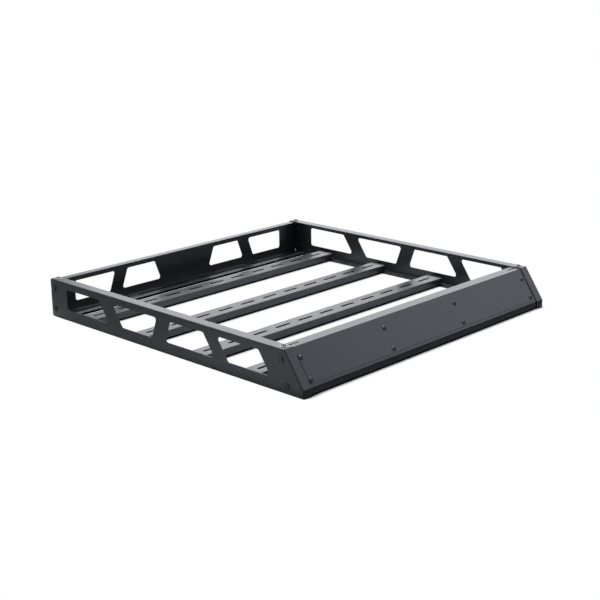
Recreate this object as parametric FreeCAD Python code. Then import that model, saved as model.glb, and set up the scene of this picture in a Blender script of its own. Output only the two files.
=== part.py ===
import FreeCAD, Part
import math
import os

# Open roof rack folded from steel sheet, all sizes in mm.
# X runs across the vehicle, the sloped front faces -Y, Z is up.
# The origin is on the floor under the middle of the rack.

V = FreeCAD.Vector
AXIS_X = V(1, 0, 0)
AXIS_Y = V(0, 1, 0)
AXIS_Z = V(0, 0, 1)

# overall size
rack_width = 1250.0
rack_length = 1235.0
rack_height = 138.0
nose_height = 27.0
nose_setback = 76.0

# sheet
sheet = 3.0
bend_inner = 1.0
bend_outer = bend_inner + sheet

# how far a cutter runs past what it cuts
past = 10.0

# how closely an edge has to meet a line or a corner to be picked
on_line = 1e-6
on_corner = 1e-3

# ends of the sloped side in the outline's list of points
slope_top = 2
slope_foot = 3

# side panels
side_flange = 37.0
foot_corner = 9.0
cutout_corner = 9.0
side_cutout_bottom = 40.0
side_cutout_top = 114.0
# distances of each side cut-out from the rear face:
# rear edge at the top and bottom, then front edge at the top and bottom
side_cutouts = (
    (91.0, 91.0, 275.0, 326.0),
    (346.0, 397.0, 580.0, 553.0),
    (645.0, 619.0, 804.0, 856.0),
    (864.0, 915.0, 1051.0, 1101.0),
)

# rear panel
rear_top_flange = 30.0
rear_bottom_flange = 67.0
rear_cutout_bottom = 35.0
rear_cutout_top = 109.0
# distances of the cut-outs of one half from the rack's side:
# outer edge at the top and bottom, then inner edge at the top and bottom
rear_cutouts = (
    (101.0, 101.0, 285.0, 258.0),
    (342.0, 314.0, 474.0, 502.0),
)
rear_slot_width = 12.0
rear_slot_count = 4
rear_slot_bridge = 40.0
rear_slot_left_margin = 66.0
rear_slot_right_margin = 40.0
rear_slot_inset = 32.0
rear_end_flange = 36.0

# front panel
front_top_flange = 42.0
front_bottom_flange = 45.0
front_slot_length = 41.0
front_slot_width = 7.0
front_slot_end = 65.0
front_slot_inset = 23.0
end_flange_gap = 4.0

# deflector plate
plate_gap_left = 2.0
plate_gap_right = 8.0
plate_low_edge = 11.0
plate_width = 98.0
plate_corner = 10.0
plate_bolt_inset = 13.0
plate_bolt_left = 9.0
plate_bolt_right = 15.0
# bolt columns as shares of the way between the outer two
plate_bolt_shares = (0.0, 0.333, 0.652, 1.0)

# crossbars
bar_end_gap = 20.0
bar_width = 72.0
bar_height = 27.0
bar_lip = 18.0
# distances of the bars' middles from the rear face
bar_from_rear = {"rear": 190.0, "middle": 474.0, "front": 758.0, "foremost": 1004.5}
bar_slot_length = 68.0
bar_slot_width = 11.0
bar_slot_count = 11
bar_slot_left_margin = 20.0
bar_slot_right_margin = 32.0

# bolt holes
bolt_hole = 9.0
rear_bolt_inset = 18.0
rear_bolt_heights = (29.0, 105.0)
front_bolts = ((66.0, 24.0), (89.0, 104.0))
corner_bolt_side = 20.0
corner_bolt_rear = 20.0
corner_bolt_front = 98.0
mount_slot_length = 44.0
mount_slot_width = 9.0
mount_slot_side = 26.0
mount_slot_from_rear = (299.0, 637.0, 936.0)

# places that follow from the sizes
rear_y = rack_length / 2
front_y = -rack_length / 2
web_x = rack_width / 2
corner_bolt_x = web_x - corner_bolt_side
mount_slot_x = web_x - mount_slot_side
plate_left = -web_x + side_flange + plate_gap_left
plate_right = web_x - side_flange - plate_gap_right
bar_end = web_x - bar_end_gap


def outline():
    """Outside of a side panel in the YZ plane, from the rear foot round to the nose."""
    return [
        (rear_y, 0.0),
        (rear_y, rack_height),
        (front_y + nose_setback, rack_height),
        (front_y, nose_height),
        (front_y, 0.0),
    ]


def inset(depth, rear_depth):
    """The outline moved inward by a depth, with a depth of its own for the rear edge, its first."""
    points = outline()
    cy = sum(p[0] for p in points) / len(points)
    cz = sum(p[1] for p in points) / len(points)
    lines = []
    for i, start in enumerate(points):
        end = points[(i + 1) % len(points)]
        dy = end[0] - start[0]
        dz = end[1] - start[1]
        length = math.hypot(dy, dz)
        normal = (-dz / length, dy / length)
        if normal[0] * (cy - start[0]) + normal[1] * (cz - start[1]) < 0:
            normal = (-normal[0], -normal[1])
        move = rear_depth if i == 0 else depth
        base = (start[0] + normal[0] * move, start[1] + normal[1] * move)
        lines.append((base, (dy, dz)))
    result = []
    for i, (base, way) in enumerate(lines):
        other, run = lines[i - 1]
        cross = run[0] * way[1] - run[1] * way[0]
        share = ((base[0] - other[0]) * way[1] - (base[1] - other[1]) * way[0]) / cross
        result.append((other[0] + run[0] * share, other[1] + run[1] * share))
    return result


def slab(points, x0, x1):
    """A YZ outline given thickness along X."""
    wire = Part.makePolygon([V(x0, y, z) for y, z in points + points[:1]])
    return Part.Face(wire).extrude(V(x1 - x0, 0, 0))


def box(x0, x1, y0, y1, z0, z1):
    """A block between two corners."""
    return Part.makeBox(x1 - x0, y1 - y0, z1 - z0, V(x0, y0, z0))


def rounded(shape, radius, chosen):
    """Rounds the straight edges that a test picks."""
    edges = [e for e in shape.Edges if len(e.Vertexes) == 2 and chosen(e)]
    return shape.makeFillet(radius, edges)


def along(edge, axis):
    """True for an edge that runs along an axis."""
    way = edge.Vertexes[1].Point.sub(edge.Vertexes[0].Point)
    return way.Length > on_line and abs(abs(way.dot(axis)) - way.Length) < on_line


def at_corners(edge, corners):
    """True for an edge along X that stands on one of the YZ corners."""
    if not along(edge, AXIS_X):
        return False
    p = edge.Vertexes[0].Point
    return any(math.hypot(p.y - y, p.z - z) < on_corner for y, z in corners)


def in_plane(edge, x):
    """True for an edge whose two ends lie at the same X."""
    return all(abs(v.Point.x - x) < on_line for v in edge.Vertexes)


def hole(x, y, z, axis, diameter, reach):
    """A round cutter of a given reach both ways from a point."""
    start = V(x, y, z).sub(V(axis).multiply(reach))
    return Part.makeCylinder(diameter / 2, 2 * reach, start, axis)


def slot(x, y, z, length, width, reach, run):
    """An upright slot cutter with round ends, running along X or Y."""
    half = (length - width) / 2
    if run == AXIS_X:
        body = box(x - half, x + half, y - width / 2, y + width / 2, z - reach, z + reach)
    else:
        body = box(x - width / 2, x + width / 2, y - half, y + half, z - reach, z + reach)
    offset = V(run).multiply(half)
    for way in (-1, 1):
        end = V(x, y, z).add(V(offset).multiply(way))
        body = body.fuse(hole(end.x, end.y, z, AXIS_Z, width, reach))
    return body.removeSplitter()


def opening(corners, axis, at, reach):
    """A cutter for a four-sided cut-out with rounded corners, through a sheet square to an axis."""
    if axis == AXIS_X:
        ring = [V(at - reach, a, z) for a, z in corners]
    else:
        ring = [V(a, at - reach, z) for a, z in corners]
    face = Part.Face(Part.makePolygon(ring + ring[:1]))
    prism = face.extrude(V(axis).multiply(2 * reach))
    return rounded(prism, cutout_corner, lambda e: along(e, axis))


def tray():
    """Web and inward flanges of the left side panel, folded from one sheet and open at the rear."""
    outer = outline()
    inner = inset(sheet, -past)
    left = -web_x
    body = slab(outer, left, left + side_flange)
    body = body.cut(slab(inner, left + sheet, left + side_flange + past))
    body = rounded(body, bend_outer, lambda e: is_bend(e, left, outer))
    return rounded(body, bend_inner, lambda e: is_bend(e, left + sheet, inner))


def is_bend(edge, x, corners):
    """True for a fold between the web face at X and a flange, or between two flanges."""
    upright_rear = along(edge, AXIS_Z) and edge.Vertexes[0].Point.y > 0
    folds = [p for p in corners if p[0] < 0]
    return (in_plane(edge, x) and not upright_rear) or at_corners(edge, folds)


def foot_relief():
    """Cutters that round the web's rear foot and stop the bottom flange short of it."""
    left = -web_x
    end = rear_y - foot_corner
    block = box(left - past, left + side_flange + past, end, rear_y + past, -past, foot_corner)
    round_end = Part.makeCylinder(
        foot_corner, side_flange + 2 * past, V(left - past, end, foot_corner), AXIS_X
    )
    flange_end = box(
        left + bend_outer, left + side_flange + past, end, rear_y + past, -past, bend_outer
    )
    return [block.cut(round_end), flange_end]


def side_windows():
    """Cutters for the slanted cut-outs of the left side panel's web."""
    cutters = []
    for top_rear, foot_rear, top_front, foot_front in side_cutouts:
        corners = [
            (rear_y - top_rear, side_cutout_top),
            (rear_y - top_front, side_cutout_top),
            (rear_y - foot_front, side_cutout_bottom),
            (rear_y - foot_rear, side_cutout_bottom),
        ]
        cutters.append(opening(corners, AXIS_X, -web_x, past))
    return cutters


def side_holes():
    """Cutters for the left side panel's bolt holes and mounting slots."""
    left = -web_x
    cutters = []
    for height in rear_bolt_heights:
        cutters.append(hole(left, rear_y - rear_bolt_inset, height, AXIS_X, bolt_hole, past))
    for inset_y, height in front_bolts:
        cutters.append(hole(left, front_y + inset_y, height, AXIS_X, bolt_hole, past))
    for y in (rear_y - corner_bolt_rear, front_y + corner_bolt_front):
        cutters.append(hole(-corner_bolt_x, y, rack_height, AXIS_Z, bolt_hole, past))
    for distance in mount_slot_from_rear:
        y = rear_y - distance
        cutters.append(slot(-mount_slot_x, y, 0, mount_slot_length, mount_slot_width, past, AXIS_Y))
    return cutters


def side_panel():
    """The left side panel with its cut-outs, bolt holes and mounting slots."""
    return tray().cut(Part.makeCompound(foot_relief() + side_windows() + side_holes()))


def bar_slots(top):
    """Cutters for the row of slots in the top of a crossbar."""
    first = -bar_end + bar_slot_left_margin + bar_slot_length / 2
    last = bar_end - bar_slot_right_margin - bar_slot_length / 2
    pitch = (last - first) / (bar_slot_count - 1)
    cutters = []
    for i in range(bar_slot_count):
        x = first + i * pitch
        cutters.append(slot(x, 0, top, bar_slot_length, bar_slot_width, past, AXIS_X))
    return cutters


def crossbar(distance):
    """A lipped channel, slotted in its top and open below, standing on the bottom flanges."""
    half = bar_width / 2
    foot = sheet
    top = foot + bar_height
    outer = box(-bar_end, bar_end, -half, half, foot, top)
    body = outer.cut(box(-web_x, web_x, -half + sheet, half - sheet, foot + sheet, top - sheet))
    mouth = half - bar_lip
    body = body.cut(box(-web_x, web_x, -mouth, mouth, 0, foot + sheet))
    outside = [(y, z) for y in (-half, half) for z in (foot, top)]
    inside = [(y, z) for y in (-half + sheet, half - sheet) for z in (foot + sheet, top - sheet)]
    body = rounded(body, bend_outer, lambda e: at_corners(e, outside))
    body = rounded(body, bend_inner, lambda e: at_corners(e, inside))
    body = body.cut(Part.makeCompound(bar_slots(top)))
    body.translate(V(0, rear_y - distance, 0))
    return body


def shell(keep):
    """A folded sheet that lines the inside of the side panels' flanges, kept within some blocks."""
    lining = inset(sheet, 0.0)
    hollow = inset(2 * sheet, sheet)
    reach = web_x - sheet - end_flange_gap
    body = slab(lining, -reach, reach).cut(slab(hollow, -reach - past, reach + past))
    body = body.common(keep)
    body = rounded(body, bend_outer, lambda e: at_corners(e, lining))
    return rounded(body, bend_inner, lambda e: at_corners(e, hollow))


def rear_end():
    """The bent left end of the rear panel: a short return of the web and its flange."""
    left = -web_x + sheet
    low = 2 * sheet + end_flange_gap
    high = rack_height - 2 * sheet - end_flange_gap
    end = rear_y - rear_end_flange
    block = box(left, left + side_flange, end, rear_y, low, high)
    room = box(left + sheet, left + side_flange + past, end - past, rear_y - sheet, 0, rack_height)
    body = block.cut(room)
    body = rounded(body, bend_outer, lambda e: upright_at(e, left, rear_y))
    return rounded(body, bend_inner, lambda e: upright_at(e, left + sheet, rear_y - sheet))


def upright_at(edge, x, y):
    """True for an upright edge that stands at X and Y."""
    p = edge.Vertexes[0].Point
    return along(edge, AXIS_Z) and math.hypot(p.x - x, p.y - y) < on_corner


def both_ends(piece):
    """A left-hand piece and its mirror image."""
    return [piece, piece.mirror(V(0, 0, 0), AXIS_X)]


def rear_windows():
    """Cutters for the slanted cut-outs of the rear panel's web."""
    cutters = []
    for way in (-1, 1):
        for top_out, foot_out, top_in, foot_in in rear_cutouts:
            corners = [
                (way * (web_x - top_out), rear_cutout_top),
                (way * (web_x - top_in), rear_cutout_top),
                (way * (web_x - foot_in), rear_cutout_bottom),
                (way * (web_x - foot_out), rear_cutout_bottom),
            ]
            cutters.append(opening(corners, AXIS_Y, rear_y, past))
    return cutters


def rear_slots():
    """Cutters for the long slots of the rear panel's bottom flange."""
    room = rack_width - rear_slot_left_margin - rear_slot_right_margin
    length = (room - (rear_slot_count - 1) * rear_slot_bridge) / rear_slot_count
    y = rear_y - rear_slot_inset
    cutters = []
    for i in range(rear_slot_count):
        x = -web_x + rear_slot_left_margin + length / 2 + i * (length + rear_slot_bridge)
        cutters.append(slot(x, y, sheet, length, rear_slot_width, past, AXIS_X))
    return cutters


def rear_holes():
    """Cutters for the bolt holes of the rear panel's bent ends and top flange."""
    top = rack_height - sheet
    side_y = rear_y - rear_bolt_inset
    corner_y = rear_y - corner_bolt_rear
    cutters = []
    for way in (-1, 1):
        for height in rear_bolt_heights:
            cutters.append(hole(way * web_x, side_y, height, AXIS_X, bolt_hole, past))
        cutters.append(hole(way * corner_bolt_x, corner_y, top, AXIS_Z, bolt_hole, past))
    return cutters


def rear_panel():
    """The rear panel: web with cut-outs, two forward flanges and two end flanges."""
    middle = rack_height / 2
    keep = box(-web_x, web_x, rear_y - rear_top_flange, rear_y, middle, rack_height)
    keep = keep.fuse(box(-web_x, web_x, rear_y - rear_bottom_flange, rear_y, 0, middle))
    body = shell(keep.removeSplitter())
    body = body.fuse(both_ends(rear_end())).removeSplitter()
    return body.cut(Part.makeCompound(rear_windows() + rear_slots() + rear_holes()))


def slope_frame():
    """Foot, upward direction and outward normal of the sloped face of the side outline."""
    foot = V(0, front_y, nose_height)
    up = V(0, nose_setback, rack_height - nose_height).normalize()
    out = up.cross(AXIS_X)
    if out.y > 0:
        out = out.negative()
    return foot, up, out


def plate_bolts(lift):
    """Cutters for the deflector's bolts, square to the slope, with their middles lifted off it."""
    foot, up, out = slope_frame()
    first = plate_left + plate_bolt_left
    last = plate_right - plate_bolt_right
    cutters = []
    for share in plate_bolt_shares:
        x = first + share * (last - first)
        for rise in (plate_bolt_inset, plate_width - plate_bolt_inset):
            centre = foot.add(V(up).multiply(plate_low_edge + rise)).add(V(x, 0, 0))
            centre = centre.add(V(out).multiply(lift))
            cutters.append(hole(centre.x, centre.y, centre.z, out, bolt_hole, past))
    return cutters


def front_end():
    """The bent left end of the front panel: a strip of the slope and the gusset beside the web."""
    lining = inset(sheet, 0.0)
    hollow = inset(2 * sheet, sheet)
    left = -web_x + sheet
    low = 2 * sheet + end_flange_gap + bend_inner
    high = rack_height - 2 * sheet - end_flange_gap
    rear_edge = front_y + nose_setback + front_top_flange
    band = box(left, left + side_flange, front_y, rear_edge, low, high)
    body = slab(lining, left, left + side_flange).common(band)
    room = slab(hollow, left + sheet, left + side_flange + past)
    end = left + side_flange + past
    rear_room = box(left + sheet, end, rear_edge - past, rear_edge + past, 0, rack_height)
    body = body.cut(room).cut(rear_room)
    body = body.cut(below_slope(lining, left))
    body = rounded(body, bend_outer, lambda e: on_slope(e, left, lining))
    return rounded(body, bend_inner, lambda e: on_slope(e, left + sheet, hollow))


def below_slope(lining, left):
    """A cutter for what stands before the gusset, lower than the foot of the slope."""
    foot_y, foot_z = lining[slope_foot]
    end = left + side_flange + past
    return box(left - past, end, front_y - past, foot_y + bend_outer, 0, foot_z + bend_outer)


def on_slope(edge, x, points):
    """True for an edge at X that runs along the sloped side of an outline."""
    (y0, z0), (y1, z1) = points[slope_top], points[slope_foot]
    way = V(0, y1 - y0, z1 - z0).normalize()
    if not (in_plane(edge, x) and along(edge, way)):
        return False
    p = edge.Vertexes[0].Point.sub(V(x, y0, z0))
    return p.cross(way).Length < on_corner


def front_holes():
    """Cutters for the front panel's slots and for the bolt holes of its flange and gussets."""
    top = rack_height - sheet
    slot_y = front_y + nose_setback + front_slot_inset
    corner_y = front_y + corner_bolt_front
    cutters = []
    for way in (-1, 1):
        x = way * (web_x - front_slot_end)
        cutters.append(slot(x, slot_y, top, front_slot_length, front_slot_width, past, AXIS_X))
        cutters.append(hole(way * corner_bolt_x, corner_y, top, AXIS_Z, bolt_hole, past))
        for inset_y, height in front_bolts:
            cutters.append(hole(way * web_x, front_y + inset_y, height, AXIS_X, bolt_hole, past))
    return cutters


def front_panel():
    """The front panel: top flange, slope, nose, bottom flange and two end gussets."""
    middle = rack_height / 2
    top_edge = front_y + nose_setback + front_top_flange
    keep = box(-web_x, web_x, front_y, top_edge, middle, rack_height)
    low_edge = front_y + sheet + front_bottom_flange
    keep = keep.fuse(box(-web_x, web_x, front_y, low_edge, 0, middle))
    body = shell(keep.removeSplitter())
    body = body.fuse(both_ends(front_end())).removeSplitter()
    return body.cut(Part.makeCompound(plate_bolts(-sheet) + front_holes()))


def deflector_plate():
    """The flat plate bolted on the front panel's slope, level with the side panels' flanges."""
    foot, up, out = slope_frame()
    ring = ((plate_left, 0), (plate_right, 0), (plate_right, plate_width), (plate_left, plate_width))
    corners = []
    for x, rise in ring:
        point = foot.add(V(up).multiply(plate_low_edge + rise)).add(V(x, 0, 0))
        corners.append(point.sub(V(out).multiply(sheet)))
    face = Part.Face(Part.makePolygon(corners + corners[:1]))
    body = face.extrude(V(out).multiply(sheet))
    body = rounded(body, plate_corner, lambda e: along(e, out))
    return body.cut(Part.makeCompound(plate_bolts(0.0)))


def export(name, shape):
    """Writes one piece as its own file."""
    shape.exportStep(os.path.join("parts", name + ".step"))


def build():
    """Makes every piece and writes it."""
    os.makedirs("parts", exist_ok=True)
    left = side_panel()
    export("side_panel_left", left)
    export("side_panel_right", left.mirror(V(0, 0, 0), AXIS_X))
    export("rear_panel", rear_panel())
    export("front_panel", front_panel())
    export("deflector_plate", deflector_plate())
    for name, distance in bar_from_rear.items():
        export("crossbar_" + name, crossbar(distance))


build()
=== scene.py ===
import math

import bpy
from mathutils import Matrix, Vector


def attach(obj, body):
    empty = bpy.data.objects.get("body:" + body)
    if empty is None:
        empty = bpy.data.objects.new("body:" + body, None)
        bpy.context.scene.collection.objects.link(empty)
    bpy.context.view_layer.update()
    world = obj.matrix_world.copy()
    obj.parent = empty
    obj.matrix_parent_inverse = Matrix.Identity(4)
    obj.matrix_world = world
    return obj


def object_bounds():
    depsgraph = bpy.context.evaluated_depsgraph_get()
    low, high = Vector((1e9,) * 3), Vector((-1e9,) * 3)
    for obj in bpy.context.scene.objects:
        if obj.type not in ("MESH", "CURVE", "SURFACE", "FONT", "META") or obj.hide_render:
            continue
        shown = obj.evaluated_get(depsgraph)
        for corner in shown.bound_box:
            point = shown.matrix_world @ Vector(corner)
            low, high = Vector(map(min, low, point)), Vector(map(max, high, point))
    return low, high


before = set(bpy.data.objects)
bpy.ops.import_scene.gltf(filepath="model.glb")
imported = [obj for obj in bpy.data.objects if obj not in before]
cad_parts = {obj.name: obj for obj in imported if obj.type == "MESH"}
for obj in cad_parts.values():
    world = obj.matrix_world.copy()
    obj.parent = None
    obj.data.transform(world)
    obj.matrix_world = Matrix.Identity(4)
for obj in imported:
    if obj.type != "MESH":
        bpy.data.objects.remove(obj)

cad_low, cad_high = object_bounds()
MM = 0.001

# outside planes of the rack, in millimetres
SIDE_X = cad_high.x / MM
FRONT_Y = cad_low.y / MM
REAR_Y = cad_high.y / MM
TOP_Z = cad_high.z / MM

# sizes that the hardware shares with the sheet metal, in millimetres
SHEET = 3.0
BEND = 4.0
NOSE_HEIGHT = 27.0
NOSE_SETBACK = 76.0
PLATE_BOLT_COLUMNS = (-577.0, -196.7, 167.6, 565.0)
PLATE_BOLT_RISES = (24.0, 96.0)
SIDE_BOLT_INSET_REAR = 18.0
SIDE_BOLT_HEIGHTS_REAR = (29.0, 105.0)
SIDE_BOLTS_FRONT = ((66.0, 24.0), (89.0, 104.0))
CORNER_BOLT_INSET = 20.0
CORNER_BOLT_FRONT = 98.0

# Hardware is turned from rings. Each has a height, a radius or 0, and the width
# across the flats of a hexagon or 0, in millimetres.
# M8 bolt with a flanged button head and a hexagon socket, from its flange upward
BOLT_HEAD = [
    (0.0, 8.6, 0), (0.25, 8.9, 0), (0.95, 8.8, 0), (1.25, 8.3, 0), (1.45, 7.2, 0),
    (1.9, 6.95, 0), (2.7, 6.3, 0), (3.4, 5.4, 0), (4.0, 4.3, 0), (4.3, 3.5, 0),
    (4.25, 3.3, 0), (4.1, 0, 5.0), (1.9, 0, 5.0),
]
# M8 nut and bolt end, from the sheet outward
NUT = [
    (0.0, 6.6, 13.0), (0.5, 7.5, 13.0), (6.0, 7.5, 13.0), (6.5, 6.6, 13.0),
    (6.5, 4.3, 0), (6.5, 3.9, 0), (8.6, 3.9, 0), (9.2, 3.3, 0),
]
# M8 washer, 24 mm wide
WASHER_THICK = 1.5
WASHER = [(0.0, 11.7, 0), (0.2, 12.0, 0), (1.3, 12.0, 0), (WASHER_THICK, 11.7, 0)]
# points on a ring, and the angle in degrees over which an edge looks sharp
SEGMENTS = 36
SHARP_ANGLE = 35

# powder coat: colour and gloss, and a fine grain with its depth in metres
COAT_COLOUR = (0.020, 0.0205, 0.024)
COAT_ROUGHNESS = 0.38
COAT_IOR = 1.5
COAT_SPECULAR = 0.5
GRAIN_SCALE = 2600.0
GRAIN_DETAIL = 3.0
GRAIN_ROUGHNESS = 0.6
GRAIN_STRENGTH = 0.02
GRAIN_DEPTH = 0.0002
# painted shade: slots and joints are painted black where the coat has another surface this near, in
# metres
CREVICE_REACH = 0.006
CREVICE_SAMPLES = 8
CREVICE_DARK = 0.30
CREVICE_CLEAR = 0.62

# photograph's camera, in metres, degrees and millimetres of lens
CAMERA_PLACE = (-3.04812, -2.94738, 1.30594)
CAMERA_AZIMUTH = -46.02
CAMERA_ELEVATION = 16.60
CAMERA_ROLL = -0.66
CAMERA_LENS = 74.16
SENSOR = 36.0

# floor, in metres: its place, half its width and its tone for bounced light
FLOOR_Z = -0.0005
FLOOR_HALF = 30.0
FLOOR_TONE = (0.43, 0.45, 0.49)
# painted contact shadow: how near the rack comes before the floor is painted dark to the camera
CONTACT_REACH = 0.040
CONTACT_SAMPLES = 16
CONTACT_DARK = 0.40
CONTACT_CLEAR = 0.64
# way that the light mostly comes from, which the painted contact shadow follows where the rack
# would shade the floor
CONTACT_WAY = (-0.60, 0.50, 0.62)
# painted shadow: strip of floor under the rear panel's bottom flange that is painted dark
REAR_SHADE = 0.078
# painted shade in the floor's bounced light: how far the floor before the nose sends no light, and
# how far its shade takes to start
NOSE_SHADE = 0.80
NOSE_FADE = 0.06
# how far inside the rack's outline the painted shade starts on the floor
SHADE_START = 0.02
# how far beside the rack the floor's light is painted away, and what is left beside its rear half
SIDE_FADE = 0.10
SIDE_SHADE_LIGHT = 0.45
# half the length over which the painted shade beside the rack clears towards the rear
REARWARD_FADE = 0.35
# painted shade: depth of the floor before the rear panel that sends it no light
WALL_SHADE = 0.215

# strength of the studio's soft light at the horizon and overhead, and its tint
WORLD_LOW = 0.12
WORLD_HIGH = 0.34
WORLD_TINT = (0.95, 0.97, 1.0)

# name, place, target, width, height, power in watts and tint of each lamp
LAMPS = [
    ("key", (-0.2, 1.1, 3.0), (0, 0, 0), 1.4, 1.4, 200, (1, 1, 1)),
    ("behind", (3.60, 2.50, 1.9), (0, 0, 0.1), 5.0, 3.2, 130, (0.95, 0.955, 1.0)),
    ("camera_side", (-2.6, -2.5, 1.3), (0, 0, 0.1), 2.0, 2.0, 12, (0.92, 0.94, 1.0)),
    ("front", (2.8, -2.4, 2.0), (0, -0.5, 0.1), 2.5, 2.5, 38, (0.87, 0.885, 1.0)),
]


def set_sockets(node, values):
    """Sets input sockets of a node by name."""
    for name, value in values.items():
        node.inputs[name].default_value = value


def emptied(owner):
    """Node tree of a material or world, with no node in it."""
    owner.use_nodes = True
    owner.node_tree.nodes.clear()
    return owner.node_tree


def new_material(name):
    """A material with one Principled shader, and its node tree."""
    material = bpy.data.materials.new(name)
    tree = emptied(material)
    out = tree.nodes.new("ShaderNodeOutputMaterial")
    shader = tree.nodes.new("ShaderNodeBsdfPrincipled")
    tree.links.new(shader.outputs["BSDF"], out.inputs["Surface"])
    return material, tree, shader


def powder_coat():
    """Fine-textured satin powder coat, with shade painted black into its crevices."""
    material, tree, shader = new_material("satin_black_powder_coat")
    set_sockets(shader, {"Roughness": COAT_ROUGHNESS, "IOR": COAT_IOR})
    # painted shade in slots and joints
    paint_crevice_shade(tree, shader)
    add_grain(tree, shader)
    return material


def paint_crevice_shade(tree, shader):
    """Paints shade: takes the coat's colour and gloss away where another surface is near."""
    openness = tree.nodes.new("ShaderNodeAmbientOcclusion")
    openness.samples = CREVICE_SAMPLES
    set_sockets(openness, {"Distance": CREVICE_REACH})
    share = tree.nodes.new("ShaderNodeMapRange")
    set_sockets(share, {
        "From Min": CREVICE_DARK,
        "From Max": CREVICE_CLEAR,
        "To Min": 0.0,
        "To Max": COAT_SPECULAR,
    })
    tone = tree.nodes.new("ShaderNodeVectorMath")
    tone.operation = "SCALE"
    tone.inputs[0].default_value = [part / COAT_SPECULAR for part in COAT_COLOUR]
    tree.links.new(openness.outputs["AO"], share.inputs["Value"])
    tree.links.new(share.outputs["Result"], shader.inputs["Specular IOR Level"])
    tree.links.new(share.outputs["Result"], tone.inputs["Scale"])
    tree.links.new(tone.outputs["Vector"], shader.inputs["Base Color"])


def add_grain(tree, shader):
    """Gives the coat its fine orange-peel grain."""
    place = tree.nodes.new("ShaderNodeTexCoord")
    noise = tree.nodes.new("ShaderNodeTexNoise")
    set_sockets(noise, {"Scale": GRAIN_SCALE, "Detail": GRAIN_DETAIL, "Roughness": GRAIN_ROUGHNESS})
    bump = tree.nodes.new("ShaderNodeBump")
    set_sockets(bump, {"Strength": GRAIN_STRENGTH, "Distance": GRAIN_DEPTH})
    tree.links.new(place.outputs["Object"], noise.inputs["Vector"])
    tree.links.new(noise.outputs["Fac"], bump.inputs["Height"])
    tree.links.new(bump.outputs["Normal"], shader.inputs["Normal"])


def hardware_finish(name, colour, roughness, metallic):
    """Plain finish of bolts and washers."""
    material, tree, shader = new_material(name)
    set_sockets(shader, {
        "Base Color": (*colour, 1.0),
        "Roughness": roughness,
        "Metallic": metallic,
    })
    return material


COAT = powder_coat()
BOLT_STEEL = hardware_finish("black_plated_bolts", (0.060, 0.050, 0.040), 0.50, 0.3)
BOLT_COATED = hardware_finish("coated_bolts", (0.050, 0.050, 0.053), 0.55, 0.0)
WASHER_BLACK = hardware_finish("black_washers", (0.016, 0.016, 0.015), 0.55, 0.0)
WASHER_STEEL = hardware_finish("bright_washers", (0.30, 0.30, 0.31), 0.55, 0.6)


def coat_panels():
    """Gives every CAD piece the powder coat."""
    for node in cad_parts:
        piece = bpy.data.objects[node]
        piece.data.materials.clear()
        piece.data.materials.append(COAT)


def ring_reach(radius, flats, angle):
    """Distance from a ring's middle to its outline: round, hexagonal, or the lesser of the two."""
    if not flats:
        return radius
    sixth = math.pi / 3
    reach = flats / 2 / math.cos((angle + sixth / 2) % sixth - sixth / 2)
    return min(radius, reach) if radius else reach


def turned(rings):
    """Points and faces of a closed piece built up from rings."""
    points = []
    faces = []
    for height, radius, flats in rings:
        for i in range(SEGMENTS):
            angle = 2 * math.pi * i / SEGMENTS
            reach = ring_reach(radius, flats, angle)
            points.append((reach * math.cos(angle), reach * math.sin(angle), height))
    for r in range(len(rings) - 1):
        for i in range(SEGMENTS):
            j = (i + 1) % SEGMENTS
            a = r * SEGMENTS
            b = a + SEGMENTS
            faces.append((a + i, a + j, b + j, b + i))
    faces.append(tuple(reversed(range(SEGMENTS))))
    last = (len(rings) - 1) * SEGMENTS
    faces.append(tuple(range(last, last + SEGMENTS)))
    return points, faces


def placed(rings, point, axis):
    """Rings as a mesh in millimetres, standing on a point along an axis."""
    points, faces = turned(rings)
    turn = Vector(axis).to_track_quat("Z", "Y").to_matrix().to_4x4()
    move = Matrix.Translation(Vector(point)) @ turn
    return [move @ Vector(p) for p in points], faces


def joined(name, parts, material):
    """One piece of the scene from several meshes in millimetres."""
    points = []
    faces = []
    for some_points, some_faces in parts:
        start = len(points)
        points += [p * MM for p in some_points]
        faces += [tuple(i + start for i in face) for face in some_faces]
    mesh = bpy.data.meshes.new(name)
    mesh.from_pydata([tuple(p) for p in points], [], faces)
    mesh.materials.append(material)
    mesh.update()
    piece = bpy.data.objects.new(name, mesh)
    bpy.context.scene.collection.objects.link(piece)
    mesh.shade_smooth()
    mesh.set_sharp_from_angle(angle=math.radians(SHARP_ANGLE))
    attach(piece, "root")


def bolted(point, axis, washer=0.0):
    """Bolt head on a face, over a washer if there is one, and nut behind two sheets."""
    point = Vector(point)
    axis = Vector(axis)
    head = placed(BOLT_HEAD, point + axis * washer, axis)
    nut = placed(NUT, point - axis * 2 * SHEET, -axis)
    return [head, nut]


def deflector_bolts():
    """Bolts in two rows across the deflector plate, square to the slope."""
    foot = Vector((0, FRONT_Y, NOSE_HEIGHT))
    up = Vector((0, NOSE_SETBACK, TOP_Z - NOSE_HEIGHT)).normalized()
    out = Vector((0, -up.z, up.y))
    parts = []
    for x in PLATE_BOLT_COLUMNS:
        for rise in PLATE_BOLT_RISES:
            parts += bolted(foot + up * rise + Vector((x, 0, 0)), out)
    joined("deflector_bolts", parts, BOLT_COATED)


def side_bolts(side, way):
    """Bolts with black washers through a side panel's web and the bent ends behind it."""
    places = [(REAR_Y - SIDE_BOLT_INSET_REAR, height) for height in SIDE_BOLT_HEIGHTS_REAR]
    places += [(FRONT_Y + inset, height) for inset, height in SIDE_BOLTS_FRONT]
    bolts = []
    washers = []
    for y, height in places:
        point = (way * SIDE_X, y, height)
        bolts += bolted(point, (way, 0, 0), WASHER_THICK)
        washers.append(placed(WASHER, point, (way, 0, 0)))
    joined("side_bolts_" + side, bolts, BOLT_STEEL)
    joined("side_washers_" + side, washers, WASHER_BLACK)


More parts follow.
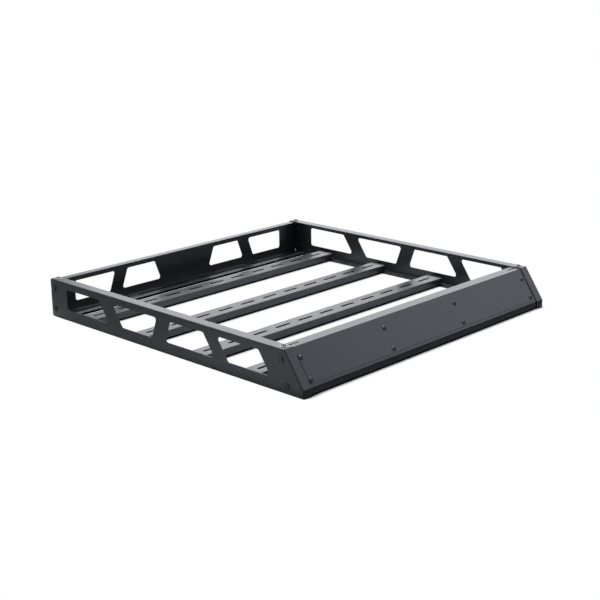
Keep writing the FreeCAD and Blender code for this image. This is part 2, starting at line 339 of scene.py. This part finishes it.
def corner_bolts():
    """Bolts with bright washers on top of the four corners."""
    bolts = []
    washers = []
    for way in (-1, 1):
        for y in (REAR_Y - CORNER_BOLT_INSET, FRONT_Y + CORNER_BOLT_FRONT):
            point = Vector((way * (SIDE_X - CORNER_BOLT_INSET), y, TOP_Z))
            washers.append(placed(WASHER, point, (0, 0, 1)))
            bolts += bolted(point, (0, 0, 1), WASHER_THICK)
    joined("corner_bolts", bolts, BOLT_STEEL)
    joined("corner_washers", washers, WASHER_STEEL)


def combined(tree, operation, first, second):
    """Socket with the result of a sum on two sockets, held between 0 and 1."""
    node = tree.nodes.new("ShaderNodeMath")
    node.operation = operation
    node.use_clamp = True
    tree.links.new(first, node.inputs[0])
    tree.links.new(second, node.inputs[1])
    return node.outputs[0]


def place_axes(tree):
    """Sockets with the X, Y and Z of a place on the floor, in metres."""
    place = tree.nodes.new("ShaderNodeTexCoord")
    split = tree.nodes.new("ShaderNodeSeparateXYZ")
    tree.links.new(place.outputs["Object"], split.inputs[0])
    return split.outputs


def within(tree, value, centre, half):
    """Socket that is 1 where a value is near a centre and 0 elsewhere."""
    near = tree.nodes.new("ShaderNodeMath")
    near.operation = "COMPARE"
    near.inputs[1].default_value = centre
    near.inputs[2].default_value = half
    tree.links.new(value, near.inputs[0])
    return near.outputs[0]


def patches(tree, places):
    """Socket that is 1 on some oblong places of the floor and 0 elsewhere."""
    axes = place_axes(tree)
    covered = None
    for middle_x, half_x, middle_y, half_y in places:
        across = within(tree, axes["X"], middle_x, half_x)
        along = within(tree, axes["Y"], middle_y, half_y)
        patch = combined(tree, "MULTIPLY", across, along)
        covered = combined(tree, "MAXIMUM", covered, patch) if covered else patch
    return covered


def fade(tree, axis, start, end, low):
    """Socket that goes smoothly from 1 at one place along an axis to a low value at another."""
    ramp = tree.nodes.new("ShaderNodeMapRange")
    ramp.interpolation_type = "SMOOTHSTEP"
    set_sockets(ramp, {"From Min": start, "From Max": end, "To Min": 1.0, "To Max": low})
    tree.links.new(place_axes(tree)[axis], ramp.inputs["Value"])
    return ramp.outputs["Result"]


def footprint(piece):
    """Middle and half size of a piece across and along the floor, in metres."""
    corners = [piece.matrix_world @ Vector(corner) for corner in piece.bound_box]
    place = []
    for axis in range(2):
        low = min(corner[axis] for corner in corners)
        high = max(corner[axis] for corner in corners)
        place += [(low + high) / 2, (high - low) / 2]
    return place


def painted_shadow_places():
    """Places of the floor under the rear panel's bottom flange and under each bar, which are
    painted dark as shadow.
    """
    rear_middle = REAR_Y * MM - REAR_SHADE / 2
    places = [(0.0, (SIDE_X - BEND) * MM, rear_middle, REAR_SHADE / 2 - BEND * MM)]
    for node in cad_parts:
        if node.startswith("crossbar"):
            places.append(footprint(bpy.data.objects[node]))
    return places


def contact(tree):
    """Painted contact shadow: socket that is 0 on the floor where the rack nearly touches it, and 1
    where it is clear.
    """
    closeness = tree.nodes.new("ShaderNodeAmbientOcclusion")
    closeness.samples = CONTACT_SAMPLES
    set_sockets(closeness, {"Distance": CONTACT_REACH})
    way = tree.nodes.new("ShaderNodeCombineXYZ")
    for socket, part in zip(way.inputs, CONTACT_WAY):
        socket.default_value = part
    ramp = tree.nodes.new("ShaderNodeMapRange")
    ramp.interpolation_type = "SMOOTHSTEP"
    set_sockets(ramp, {
        "From Min": CONTACT_DARK,
        "From Max": CONTACT_CLEAR,
        "To Min": 0.0,
        "To Max": 1.0,
    })
    tree.links.new(way.outputs["Vector"], closeness.inputs["Normal"])
    tree.links.new(closeness.outputs["AO"], ramp.inputs["Value"])
    return combined(tree, "SUBTRACT", ramp.outputs["Result"], patches(tree, painted_shadow_places()))


def bounce(tree):
    """Share of its light that the floor sends back to the rack, with shade painted in where the
    rack would shade it.
    """
    front = FRONT_Y * MM
    side = SIDE_X * MM
    shadow = fade(tree, "Y", front + SHADE_START, front - NOSE_FADE, 0.0)
    past_shadow = fade(tree, "Y", front - NOSE_SHADE, front - NOSE_SHADE / 2, 0.0)
    before_nose = combined(tree, "MAXIMUM", shadow, past_shadow)
    beside = fade(tree, "X", -side - SHADE_START, -side - SIDE_FADE, 0.0)
    rearward = fade(tree, "Y", -REARWARD_FADE, REARWARD_FADE, SIDE_SHADE_LIGHT)
    beside_rear = combined(tree, "MAXIMUM", beside, rearward)
    outside = combined(tree, "MULTIPLY", before_nose, beside_rear)
    before_wall = (0.0, side, REAR_Y * MM - WALL_SHADE / 2, WALL_SHADE / 2)
    return combined(tree, "SUBTRACT", outside, patches(tree, [before_wall]))


def seen_and_lit(tree, out, seen, lit):
    """Shows one shader to the camera and another to the rest of the light."""
    mix = tree.nodes.new("ShaderNodeMixShader")
    path = tree.nodes.new("ShaderNodeLightPath")
    tree.links.new(path.outputs["Is Camera Ray"], mix.inputs[0])
    tree.links.new(lit.outputs[0], mix.inputs[1])
    tree.links.new(seen.outputs[0], mix.inputs[2])
    tree.links.new(mix.outputs[0], out.inputs["Surface"])


def floor_material():
    """White to the camera but for a painted contact shadow, and matt grey with painted shade to the
    rest of the light.
    """
    material = bpy.data.materials.new("white_floor")
    tree = emptied(material)
    out = tree.nodes.new("ShaderNodeOutputMaterial")
    clear = contact(tree)
    glow = tree.nodes.new("ShaderNodeEmission")
    set_sockets(glow, {"Color": (1, 1, 1, 1)})
    tree.links.new(clear, glow.inputs["Strength"])
    tone = tree.nodes.new("ShaderNodeVectorMath")
    tone.operation = "SCALE"
    tone.inputs[0].default_value = FLOOR_TONE
    matt = tree.nodes.new("ShaderNodeBsdfDiffuse")
    tree.links.new(combined(tree, "MULTIPLY", clear, bounce(tree)), tone.inputs["Scale"])
    tree.links.new(tone.outputs["Vector"], matt.inputs["Color"])
    seen_and_lit(tree, out, glow, matt)
    return material


def floor():
    """A wide floor just under the rack."""
    corners = [(x * FLOOR_HALF, y * FLOOR_HALF, 0) for x, y in ((-1, -1), (1, -1), (1, 1), (-1, 1))]
    mesh = bpy.data.meshes.new("floor")
    mesh.from_pydata(corners, [], [(0, 1, 2, 3)])
    mesh.materials.append(floor_material())
    piece = bpy.data.objects.new("floor", mesh)
    piece.location.z = FLOOR_Z
    bpy.context.scene.collection.objects.link(piece)


def surroundings():
    """World that is white to the camera, and to the rest a soft grey studio, brighter overhead."""
    world = bpy.data.worlds.new("studio")
    bpy.context.scene.world = world
    tree = emptied(world)
    out = tree.nodes.new("ShaderNodeOutputWorld")
    seen = tree.nodes.new("ShaderNodeBackground")
    set_sockets(seen, {"Color": (1, 1, 1, 1), "Strength": 1.0})
    lit = tree.nodes.new("ShaderNodeBackground")
    set_sockets(lit, {"Color": (*WORLD_TINT, 1)})
    way = tree.nodes.new("ShaderNodeTexCoord")
    split = tree.nodes.new("ShaderNodeSeparateXYZ")
    rise = tree.nodes.new("ShaderNodeMapRange")
    set_sockets(rise, {
        "From Min": 0.0,
        "From Max": 1.0,
        "To Min": WORLD_LOW,
        "To Max": WORLD_HIGH,
    })
    tree.links.new(way.outputs["Generated"], split.inputs[0])
    tree.links.new(split.outputs["Z"], rise.inputs["Value"])
    tree.links.new(rise.outputs["Result"], lit.inputs["Strength"])
    seen_and_lit(tree, out, seen, lit)


def lights():
    """Large soft lamps that look at the rack."""
    for name, place, target, width, height, power, tint in LAMPS:
        data = bpy.data.lights.new(name, "AREA")
        data.shape = "RECTANGLE"
        data.size = width
        data.size_y = height
        data.energy = power
        data.color = tint
        lamp = bpy.data.objects.new(name, data)
        lamp.location = place
        lamp.rotation_mode = "QUATERNION"
        lamp.rotation_quaternion = (Vector(target) - Vector(place)).to_track_quat("-Z", "Y")
        bpy.context.scene.collection.objects.link(lamp)


def camera():
    """The photograph's camera."""
    a = math.radians(CAMERA_AZIMUTH)
    e = math.radians(CAMERA_ELEVATION)
    roll = math.radians(CAMERA_ROLL)
    back = Vector((math.sin(a) * math.cos(e), -math.cos(a) * math.cos(e), math.sin(e)))
    right = Vector((math.cos(a), math.sin(a), 0))
    up = back.cross(right)
    turned_right = right * math.cos(roll) + up * math.sin(roll)
    turned_up = up * math.cos(roll) - right * math.sin(roll)
    data = bpy.data.cameras.new("camera")
    data.sensor_width = SENSOR
    data.lens = CAMERA_LENS
    seen = bpy.data.objects.new("camera", data)
    bpy.context.scene.collection.objects.link(seen)
    turn = Matrix((turned_right, turned_up, back)).transposed().to_4x4()
    seen.matrix_world = Matrix.Translation(CAMERA_PLACE) @ turn
    bpy.context.scene.camera = seen


coat_panels()
deflector_bolts()
side_bolts("left", -1)
side_bolts("right", 1)
corner_bolts()
floor()
surroundings()
lights()
camera()
bpy.context.scene.view_settings.view_transform = "Standard"
